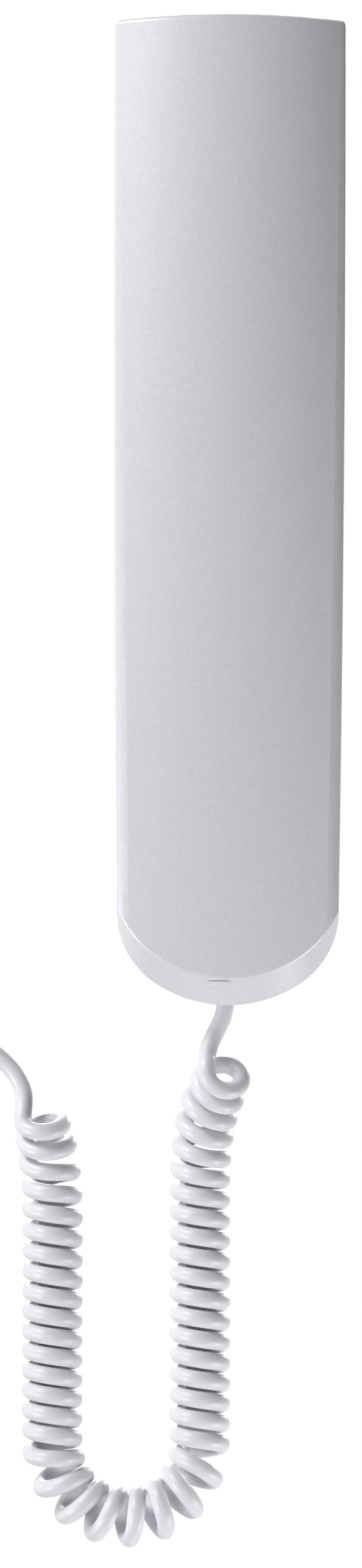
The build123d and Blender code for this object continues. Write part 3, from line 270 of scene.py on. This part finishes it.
def effect_tree(name, *sizes):
    """A new shader node group; gives its tree, its inputs by name and a function that links its outputs."""
    tree = bpy.data.node_groups.new(name, "ShaderNodeTree")
    tree.interface.new_socket("Colour", in_out="INPUT", socket_type=COLOUR)
    for label in sizes:
        tree.interface.new_socket(label, in_out="INPUT", socket_type=FLOAT)
    given = tree.nodes.new("NodeGroupInput")
    made = tree.nodes.new("NodeGroupOutput")

    def give(**results):
        """Makes an output for each result and links it."""
        for label, result in results.items():
            kind = COLOUR if label == "Colour" else FLOAT
            tree.interface.new_socket(label, in_out="OUTPUT", socket_type=kind)
            tree.links.new(result, made.inputs[label])
        return tree

    return tree, given.outputs, give


def moulded_grain():
    """Plastic or rubber as it leaves a mould: a fine grain, handling marks and a slightly uneven tone."""
    tree, given, give = effect_tree(
        "moulded_grain", "Roughness", "Spread", "Grain size", "Grain height", "Soiling", "Mottling"
    )
    where = place(tree)
    grain = noise(tree, where, maths(tree, "DIVIDE", 1.0, given["Grain size"]), detail=3.0, rough=0.6)
    marks = noise(tree, where, handling_marks, detail=4.0, rough=0.6)
    clouds = noise(tree, where, tone_clouds, detail=1.0)
    uneven = maths(tree, "MULTIPLY", maths(tree, "SUBTRACT", marks, 0.5), given["Spread"])
    fine = maths(tree, "MULTIPLY", maths(tree, "SUBTRACT", grain, 0.5), given["Spread"])
    soil = maths(tree, "MULTIPLY", maths(tree, "MULTIPLY", clouds, marks), given["Soiling"])
    mottle = maths(tree, "MULTIPLY", grain, given["Mottling"])
    return give(
        Colour=shaded(tree, given["Colour"], maths(tree, "ADD", soil, mottle)),
        Roughness=maths(tree, "ADD", maths(tree, "ADD", given["Roughness"], uneven), fine),
        Height=maths(tree, "MULTIPLY", grain, given["Grain height"]),
    )


def drawn_metal():
    """Metal with fine lines from rolling, drawing or turning, and dull patches from handling."""
    line_stretch = (1.0, 0.6, 0.06)
    dull_shade = 0.35
    tree, given, give = effect_tree("drawn_metal", "Roughness", "Spread", "Line size", "Line height")
    where = place(tree)
    along = scaled(tree, where, line_stretch)
    lines = noise(tree, along, maths(tree, "DIVIDE", 1.0, given["Line size"]), detail=2.0, rough=0.6)
    dull = noise(tree, where, dull_patches, detail=3.0, rough=0.55)
    uneven = maths(tree, "MULTIPLY", maths(tree, "ADD", lines, dull), given["Spread"])
    return give(
        Colour=shaded(tree, given["Colour"], maths(tree, "MULTIPLY", dull, dull_shade)),
        Roughness=maths(tree, "ADD", given["Roughness"], uneven),
        Height=maths(tree, "MULTIPLY", lines, given["Line height"]),
    )


def glass_weave():
    """A printed board: woven glass under green lacquer, with copper tracks that stand up under it."""
    weave_distortion = 0.4
    weave_shade, track_shade = 0.25, 0.55
    lacquer_roughness, weave_roughness = 0.28, 0.12
    track_edge, track_height = 0.62, 0.000035
    tree, given, give = effect_tree("glass_weave", "Track size")
    where = place(tree)
    ribs = []
    for direction in ("X", "Z"):
        wave = tree.nodes.new("ShaderNodeTexWave")
        wave.bands_direction = direction
        wave.inputs["Scale"].default_value = weave_bands
        wave.inputs["Distortion"].default_value = weave_distortion
        tree.links.new(where, wave.inputs["Vector"])
        ribs.append(wave.outputs["Fac"])
    weave = maths(tree, "MULTIPLY", *ribs)
    track = maths(tree, "GREATER_THAN", cells(tree, where, given["Track size"], "MANHATTAN"), track_edge)
    share = maths(
        tree, "ADD", maths(tree, "MULTIPLY", weave, weave_shade), maths(tree, "MULTIPLY", track, track_shade)
    )
    return give(
        Colour=shaded(tree, given["Colour"], share),
        Roughness=maths(tree, "ADD", maths(tree, "MULTIPLY", weave, weave_roughness), lacquer_roughness),
        Height=maths(tree, "MULTIPLY", track, track_height),
    )


def foam_cells():
    """Foam or felt with small open cells, with painted shade in the sunken middle of each cell."""
    tree, given, give = effect_tree("foam_cells", "Cell size", "Depth")
    wall = cells(tree, place(tree), given["Cell size"])
    # The colour darkens towards each cell's sunken middle: painted shade in the pits
    return give(
        Colour=shaded(tree, given["Colour"], maths(tree, "SUBTRACT", 1.0, wall)),
        Height=maths(tree, "MULTIPLY", wall, given["Depth"]),
    )


def wound_wire():
    """Turns of fine enamelled wire lying side by side along Y, with painted shade in the grooves between
    turns.
    """
    groove_roughness, crest_polish = 0.42, 0.2
    tree, given, give = effect_tree("wound_wire", "Wire")
    split = tree.nodes.new("ShaderNodeSeparateXYZ")
    tree.links.new(place(tree), split.inputs[0])
    half_turn = maths(tree, "MULTIPLY", maths(tree, "DIVIDE", split.outputs["Y"], given["Wire"]), pi)
    crest = maths(tree, "ABSOLUTE", maths(tree, "COSINE", half_turn))
    # The colour darkens towards the grooves between turns, where crest is low: painted shade
    return give(
        Colour=shaded(tree, given["Colour"], maths(tree, "SUBTRACT", 1.0, crest)),
        Roughness=maths(tree, "SUBTRACT", groove_roughness, maths(tree, "MULTIPLY", crest, crest_polish)),
        Height=maths(tree, "MULTIPLY", crest, maths(tree, "MULTIPLY", given["Wire"], 0.5)),
    )


def principled(name):
    """A new material with its node tree and its shader."""
    material = bpy.data.materials.new(name)
    material.use_nodes = True
    tree = material.node_tree
    return material, tree, next(node for node in tree.nodes if node.type == "BSDF_PRINCIPLED")


def finish(name, effect, given, fixed=None):
    """A material from one of the effects above; fixed values go on the shader's own sockets."""
    material, tree, shader = principled(name)
    group = tree.nodes.new("ShaderNodeGroup")
    group.node_tree = bpy.data.node_groups.get(effect.__name__) or effect()
    for label, value in given.items():
        group.inputs[label].default_value = (*value, 1) if label == "Colour" else value
    tree.links.new(group.outputs["Colour"], shader.inputs["Base Color"])
    if "Roughness" in group.outputs:
        tree.links.new(group.outputs["Roughness"], shader.inputs["Roughness"])
    for label, value in (fixed or {}).items():
        shader.inputs[label].default_value = value
    relief = tree.nodes.new("ShaderNodeBump")
    relief.inputs["Strength"].default_value = relief.inputs["Distance"].default_value = 1.0
    tree.links.new(group.outputs["Height"], relief.inputs["Height"])
    tree.links.new(relief.outputs["Normal"], shader.inputs["Normal"])
    return material


def moulded(
    name, colour, roughness, grain_size=0.0006, grain_height=0.000008, spread=0.08, soiling=0.08,
    mottling=0.0, fixed=None,
):
    """A moulded plastic or rubber."""
    given = {
        "Colour": colour, "Roughness": roughness, "Spread": spread, "Grain size": grain_size,
        "Grain height": grain_height, "Soiling": soiling, "Mottling": mottling,
    }
    return finish(name, moulded_grain, given, fixed)


def metal(name, colour, roughness, line_size=0.0002, line_height=0.000003, spread=0.12):
    """A plated, turned or drawn metal."""
    given = {
        "Colour": colour, "Roughness": roughness, "Spread": spread, "Line size": line_size,
        "Line height": line_height,
    }
    return finish(name, drawn_metal, given, {"Metallic": 1.0})


def dress(material, *names):
    """Gives a material to the frame's nodes with these names."""
    for name in names:
        for slot in nodes[name].material_slots:
            slot.link = "OBJECT"
            slot.material = material


def new_object(name, data):
    """A new object with its data, linked to the scene."""
    made = bpy.data.objects.new(name, data)
    bpy.context.scene.collection.objects.link(made)
    return made


def nurbs_curve(name, points, steps):
    """A curve object of one open NURBS spline with these points as its control points."""
    curve = bpy.data.curves.new(name, "CURVE")
    curve.dimensions = "3D"
    spline = curve.splines.new("NURBS")
    spline.points.add(len(points) - 1)
    for point, at in zip(spline.points, points):
        point.co = (*at, 1)
    spline.order_u = 3
    spline.use_endpoint_u = True
    spline.resolution_u = steps
    return new_object(name, curve)


def as_mesh(thing):
    """A mesh of what Blender makes of an object."""
    bpy.context.view_layer.update()
    depsgraph = bpy.context.evaluated_depsgraph_get()
    return bpy.data.meshes.new_from_object(
        thing.evaluated_get(depsgraph), preserve_all_data_layers=True, depsgraph=depsgraph
    )


def line_points(curve_object):
    """Points on a curve object's line, in order."""
    mesh = as_mesh(curve_object)
    points = [vertex.co.copy() for vertex in mesh.vertices]
    bpy.data.meshes.remove(mesh)
    return points


def remove(curve_object):
    """Deletes a helper curve."""
    curve = curve_object.data
    bpy.data.objects.remove(curve_object)
    bpy.data.curves.remove(curve)


def turn_counts(samples, curl_radius):
    """How many turns the cord has made at each sample, half a turn over a whole number at the end.

    Where the axis bends, each turn takes more of it, because the inner sides of the curls stay apart.
    """
    runs = [end - start for start, end in zip(samples, samples[1:])]
    spans = len(curl_pitches) - 1
    length = sum(run.length for run in runs)
    counts = [0.0]
    done = 0.0
    for run, following in zip(runs, [*runs[1:], runs[-1]]):
        at = spans * done / length
        first = min(int(at), spans - 1)
        pitch = curl_pitches[first] + (curl_pitches[first + 1] - curl_pitches[first]) * (at - first)
        counts.append(counts[-1] + (run.length - curl_radius * run.angle(following)) / pitch)
        done += run.length
    total = round(counts[-1] - 0.5) + 0.5
    return [count * total / counts[-1] for count in counts]


def curl_points(samples, counts, radius, per_turn):
    """Control points of the curls, a left-handed helix about the axis samples."""
    total = counts[-1]
    steps = round(total * per_turn)
    points = []
    index = 1
    for step in range(steps + 1):
        turn = total * step / steps
        while index < len(samples) - 2 and counts[index] < turn:
            index += 1
        share = (turn - counts[index - 1]) / (counts[index] - counts[index - 1])
        middle = samples[index - 1].lerp(samples[index], share)
        before = (samples[index] - samples[index - 1]).normalized()
        after = (samples[index + 1] - samples[index]).normalized()
        along = before.lerp(after, share).normalized()
        back = (Vector((0, 1, 0)) - along * along.y).normalized()
        across = along.cross(back)
        from_end = min(turn, total - turn, end_curl_turns) / end_curl_turns
        reach = radius * (end_curl_share + (1 - end_curl_share) * from_end) / cos(pi / per_turn)
        angle = 2 * pi * (turn + first_curl_turn)
        points.append(middle + back * (reach * cos(angle)) - across * (reach * sin(angle)))
    return points


def jacket_tree():
    """Geometry nodes that sheathe a curve in a round jacket, with a UV that runs along and round it."""
    tree = bpy.data.node_groups.new("cord_jacket", "GeometryNodeTree")
    for label, in_out, kind in (
        ("Geometry", "INPUT", "NodeSocketGeometry"), ("Diameter", "INPUT", FLOAT),
        ("Sides", "INPUT", "NodeSocketInt"), ("Jacket", "INPUT", "NodeSocketMaterial"),
        ("Geometry", "OUTPUT", "NodeSocketGeometry"),
    ):
        tree.interface.new_socket(label, in_out=in_out, socket_type=kind)
    given, made = tree.nodes.new("NodeGroupInput"), tree.nodes.new("NodeGroupOutput")
    link = tree.links.new

    def captured(geometry, output):
        """Keeps how far along its spline each point of a curve is."""
        capture = tree.nodes.new("GeometryNodeCaptureAttribute")
        capture.capture_items.new("FLOAT", "Along")
        link(geometry, capture.inputs["Geometry"])
        link(tree.nodes.new("GeometryNodeSplineParameter").outputs[output], capture.inputs[1])
        return capture.outputs["Geometry"], capture.outputs[1]

    ring = tree.nodes.new("GeometryNodeCurvePrimitiveCircle")
    link(given.outputs["Sides"], ring.inputs["Resolution"])
    link(maths(tree, "MULTIPLY", given.outputs["Diameter"], 0.5), ring.inputs["Radius"])
    line, along = captured(given.outputs["Geometry"], "Length")
    profile, around = captured(ring.outputs["Curve"], "Factor")
    sheath = tree.nodes.new("GeometryNodeCurveToMesh")
    sheath.inputs["Fill Caps"].default_value = True
    link(line, sheath.inputs["Curve"])
    link(profile, sheath.inputs["Profile Curve"])
    smooth = tree.nodes.new("GeometryNodeSetShadeSmooth")
    link(sheath.outputs["Mesh"], smooth.inputs["Geometry"])
    pair = tree.nodes.new("ShaderNodeCombineXYZ")
    link(around, pair.inputs["X"])
    link(along, pair.inputs["Y"])
    store = tree.nodes.new("GeometryNodeStoreNamedAttribute")
    store.data_type = "FLOAT2"
    store.domain = "CORNER"
    store.inputs["Name"].default_value = "UVMap"
    link(smooth.outputs["Geometry"], store.inputs["Geometry"])
    link(pair.outputs[0], store.inputs["Value"])
    realize = tree.nodes.new("GeometryNodeRealizeInstances")
    link(store.outputs["Geometry"], realize.inputs["Geometry"])
    paint = tree.nodes.new("GeometryNodeSetMaterial")
    link(realize.outputs["Geometry"], paint.inputs["Geometry"])
    link(given.outputs["Jacket"], paint.inputs["Material"])
    link(paint.outputs["Geometry"], made.inputs["Geometry"])
    return tree


def sheathed(name, curve_object, **values):
    """A plain mesh of the jacket round a curve; the values are the jacket tree's inputs."""
    modifier = curve_object.modifiers.new("jacket", "NODES")
    modifier.node_group = jacket_tree()
    for item in modifier.node_group.interface.items_tree:
        if item.name in values:
            modifier[item.identifier] = values[item.name]
    mesh = as_mesh(curve_object)
    curve_object.modifiers.remove(modifier)
    mesh.name = name
    return new_object(name, mesh)


class HANDSET_OT_cover(bpy.types.Operator):
    """Finishes the two shells of the cover in moulded plastic"""

    bl_idname = "handset.cover"
    bl_label = "Cover"

    def execute(self, context):
        settings = context.scene.handset_cover
        plastic = moulded(
            "cover_plastic", settings.colour, settings.roughness, settings.grain_size, settings.grain_height,
            mottling=settings.mottling,
            fixed={"IOR": 1.5, "Coat Weight": 1.0, "Coat Roughness": settings.coat_roughness},
        )
        dress(plastic, "outer_shell", "inner_shell")
        return {"FINISHED"}


class HANDSET_OT_cord(bpy.types.Operator):
    """Makes the curly cord along its route, from the cover's grommet to its plug"""

    bl_idname = "handset.cord"
    bl_label = "Curly cord"

    def execute(self, context):
        settings = context.scene.handset_cord
        route = nurbs_curve("coil_route", coil_axis, axis_steps)
        samples = line_points(route)
        remove(route)
        counts = turn_counts(samples, settings.curl_radius)
        curls = curl_points(samples, counts, settings.curl_radius, settings.points_per_turn)
        straight = Vector((0, 0, settings.diameter))
        points = [
            cord_exit, cord_exit - straight, *near_tail, *curls, *far_tail, cord_end - straight, cord_end,
        ]
        line = nurbs_curve("cord_line", points, cord_steps)
        path = line_points(line)
        jacket = moulded(
            "cord_jacket", settings.colour, 0.38, grain_size=0.0009, grain_height=0.000006, spread=0.10,
            soiling=0.10, fixed={"IOR": 1.5},
        )
        cord = sheathed(
            "curly_cord_jacket", line, Diameter=settings.diameter, Sides=settings.sides, Jacket=jacket
        )
        remove(line)
        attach(cord, "handset")
        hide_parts("curly_cord")
        dress(jacket, "cord_grommet")
        return {"FINISHED"}


class HANDSET_OT_plug(bpy.types.Operator):
    """Finishes the plug's body and latch at the cord's far end in clear plastic"""

    bl_idname = "handset.plug"
    bl_label = "Plug"

    def execute(self, context):
        clear = moulded(
            "clear_plastic", (0.93, 0.94, 0.95), 0.08, grain_size=0.002, grain_height=0.000004, spread=0.05,
            soiling=0.03, fixed={"IOR": 1.58, "Transmission Weight": 0.9},
        )
        dress(clear, "plug_body", "plug_latch")
        return {"FINISHED"}


class HANDSET_OT_receiver(bpy.types.Operator):
    """Finishes the receiver unit behind the earpiece, and the microphone's can"""

    bl_idname = "handset.receiver"
    bl_label = "Receiver"

    def execute(self, context):
        settings = context.scene.handset_fittings
        plastic = moulded(
            "black_plastic", (0.028, 0.028, 0.030), 0.45, grain_size=0.0005, grain_height=0.00001
        )
        film = moulded(
            "diaphragm_film", (0.62, 0.60, 0.55), 0.22, grain_size=0.0012, grain_height=0.000006,
            soiling=0.05, fixed={"IOR": 1.57},
        )
        nickel = metal(
            "magnet_nickel", (0.62, 0.60, 0.56), 0.10, line_size=0.0006, line_height=0.000001, spread=0.06
        )
        aluminium = metal("cap_aluminium", (0.78, 0.79, 0.80), 0.30, line_size=0.0003)
        foam = finish(
            "foam", foam_cells, {"Colour": (0.035, 0.035, 0.037), "Cell size": 0.0004, "Depth": 0.00012},
            {"Roughness": 0.95, "Sheen Weight": 0.2},
        )
        copper = finish(
            "coil_copper", wound_wire, {"Colour": settings.copper_colour, "Wire": 0.00012}, {"Metallic": 1.0}
        )
        dress(plastic, "receiver_basket")
        dress(film, "receiver_diaphragm")
        dress(metal("plated_steel", settings.steel_colour, 0.26), "receiver_yoke", "receiver_pole_plate")
        dress(nickel, "receiver_magnet")
        dress(aluminium, "receiver_front_cap", "microphone_capsule")
        dress(foam, "receiver_gasket", "receiver_back_pad")
        dress(copper, "voice_coil")
        return {"FINISHED"}


class HANDSET_OT_microphone(bpy.types.Operator):
    """Finishes the rubber boot that holds the microphone"""

    bl_idname = "handset.microphone"
    bl_label = "Microphone"

    def execute(self, context):
        rubber = moulded(
            "black_rubber", (0.022, 0.022, 0.023), 0.62, grain_size=0.0004, grain_height=0.000012, spread=0.1,
            soiling=0.3,
        )
        dress(rubber, "microphone_boot")
        return {"FINISHED"}


class HANDSET_OT_wiring(bpy.types.Operator):
    """Finishes the boards, the connector, the contacts and the wires"""

    bl_idname = "handset.wiring"
    bl_label = "Wiring"

    def execute(self, context):
        settings = context.scene.handset_fittings
        board = finish("board_green", glass_weave, {"Colour": settings.board_colour, "Track size": 0.0022})
        plastic = moulded("connector_plastic", (0.70, 0.68, 0.62), 0.40, grain_size=0.0005)
        brass = metal("terminal_brass", (0.78, 0.58, 0.28), 0.22, line_height=0.000002)
        dress(board, "junction_board", "microphone_board", "receiver_terminal_board")
        dress(plastic, "line_connector")
        dress(brass, "connector_pins", "receiver_terminals", "plug_contacts")
        for name, colour, node in (
            ("wire_red", (0.50, 0.025, 0.02), "receiver_wires"),
            ("wire_black", (0.020, 0.020, 0.022), "microphone_wires"),
            ("wire_yellow", (0.72, 0.50, 0.06), "line_wires"),
        ):
            dress(moulded(name, colour, 0.32, grain_size=0.0008, grain_height=0.000005, soiling=0.15), node)
        return {"FINISHED"}


class HANDSET_OT_fixings(bpy.types.Operator):
    """Finishes the screws and the steel weight"""

    bl_idname = "handset.fixings"
    bl_label = "Fixings"

    def execute(self, context):
        steel = context.scene.handset_fittings.steel_colour
        weight = metal("weight_steel", steel, 0.34, line_size=0.0004, line_height=0.000006, spread=0.2)
        dress(metal("screw_steel", steel, 0.22), "case_screws", "board_screws", "ballast_screws")
        dress(weight, "ballast_weight")
        return {"FINISHED"}


def soft_light(name, side, rise, height, distance, width, power):
    """A square soft light at angles from the camera's side and from the level, aimed at a height."""
    lamp = bpy.data.lights.new(name, "AREA")
    lamp.energy = power
    lamp.size = width
    made = new_object(name, lamp)
    across = Matrix.Rotation(radians(side), 3, "Z") @ Vector((0, -1, 0))
    way = across * cos(radians(rise)) + Vector((0, 0, sin(radians(rise))))
    made.location = Vector((0, lamp_aim_y, height)) + way * distance
    made.rotation_euler = (-way).to_track_quat("-Z", "Y").to_euler()
    made.visible_camera = False


def white_world(surround):
    """A world that is white to the camera, to gloss and to glass, and a soft light to the rest."""
    world = bpy.data.worlds.new("studio")
    bpy.context.scene.world = world
    world.use_nodes = True
    tree = world.node_tree
    tree.nodes.clear()
    rays = tree.nodes.new("ShaderNodeLightPath")
    seen = maths(tree, "MAXIMUM", rays.outputs["Is Camera Ray"], rays.outputs["Is Glossy Ray"])
    seen = maths(tree, "MAXIMUM", seen, rays.outputs["Is Transmission Ray"])
    mix = tree.nodes.new("ShaderNodeMixShader")
    out = tree.nodes.new("ShaderNodeOutputWorld")
    tree.links.new(seen, mix.inputs["Fac"])
    for slot, colour, strength in ((1, surround_colour, surround), (2, white, 1.0)):
        light = tree.nodes.new("ShaderNodeBackground")
        light.inputs["Color"].default_value = colour
        light.inputs["Strength"].default_value = strength
        tree.links.new(light.outputs[0], mix.inputs[slot])
    tree.links.new(mix.outputs[0], out.inputs["Surface"])


def floor_material():
    """Pale paper whose rim fades into the white surround, and which is not there from below."""
    material, tree, shader = principled("floor_paper")
    shader.inputs["Base Color"].default_value = floor_colour
    shader.inputs["Roughness"].default_value = floor_roughness
    from_middle = tree.nodes.new("ShaderNodeVectorMath")
    from_middle.operation = "LENGTH"
    tree.links.new(place(tree), from_middle.inputs[0])
    fade = tree.nodes.new("ShaderNodeMapRange")
    fade.interpolation_type = "SMOOTHSTEP"
    for label, value in (
        ("From Min", floor_radius * floor_solid_share), ("From Max", floor_radius),
        ("To Min", 1), ("To Max", 0),
    ):
        fade.inputs[label].default_value = value
    tree.links.new(from_middle.outputs["Value"], fade.inputs["Value"])
    below = tree.nodes.new("ShaderNodeNewGeometry").outputs["Backfacing"]
    from_above = maths(tree, "SUBTRACT", 1.0, below)
    tree.links.new(maths(tree, "MULTIPLY", fade.outputs["Result"], from_above), shader.inputs["Alpha"])
    return material


class HANDSET_OT_stage(bpy.types.Operator):
    """Makes the floor, the lights and the camera"""

    bl_idname = "handset.stage"
    bl_label = "Stage"

    def execute(self, context):
        settings = context.scene.handset_stage
        disc = bmesh.new()
        bmesh.ops.create_circle(disc, cap_ends=True, segments=floor_sides, radius=floor_radius)
        mesh = bpy.data.meshes.new("floor")
        disc.to_mesh(mesh)
        disc.free()
        floor = new_object("floor", mesh)
        floor.location.z = -settings.floor_drop
        floor.data.materials.append(floor_material())
        white_world(settings.surround)
        for *place_and_size, power in lamps:
            soft_light(*place_and_size, settings.light * power)
        camera = bpy.data.cameras.new("camera")
        camera.sensor_fit = "VERTICAL"
        camera.sensor_height = camera.sensor_width = camera_sensor
        camera.lens = settings.lens
        made = new_object("camera", camera)
        made.location = camera_place
        made.rotation_euler = camera_turn
        context.scene.camera = made
        context.scene.view_settings.view_transform = "Standard"
        return {"FINISHED"}


class HANDSET_PT_panel(bpy.types.Panel):
    """Lists the handset's settings and the buttons that make its pieces"""

    bl_idname = "HANDSET_PT_panel"
    bl_label = "Handset"
    bl_space_type = "VIEW_3D"
    bl_region_type = "UI"
    bl_category = "Handset"

    def draw(self, context):
        for name in setting_groups:
            box = self.layout.box()
            settings = getattr(context.scene, name)
            for prop in settings.bl_rna.properties:
                if prop.identifier not in ("rna_type", "name"):
                    box.prop(settings, prop.identifier)
        for operator in operators:
            self.layout.operator(operator.bl_idname)


operators = (
    HANDSET_OT_stage, HANDSET_OT_cord, HANDSET_OT_cover, HANDSET_OT_plug, HANDSET_OT_receiver,
    HANDSET_OT_microphone, HANDSET_OT_wiring, HANDSET_OT_fixings,
)
setting_groups = {
    "handset_cover": CoverSettings, "handset_cord": CordSettings, "handset_fittings": FittingSettings,
    "handset_stage": StageSettings,
}
registered = (*setting_groups.values(), *operators, HANDSET_PT_panel)


def register():
    for made in registered:
        bpy.utils.register_class(made)
    for name, group in setting_groups.items():
        setattr(bpy.types.Scene, name, PointerProperty(type=group))


def unregister():
    for name in setting_groups:
        delattr(bpy.types.Scene, name)
    for made in reversed(registered):
        bpy.utils.unregister_class(made)


def main():
    """Registers the add-on and runs every operator in order."""
    register()
    for operator in operators:
        getattr(bpy.ops.handset, operator.bl_idname.split(".")[1])()


if __name__ == "__main__":
    main()
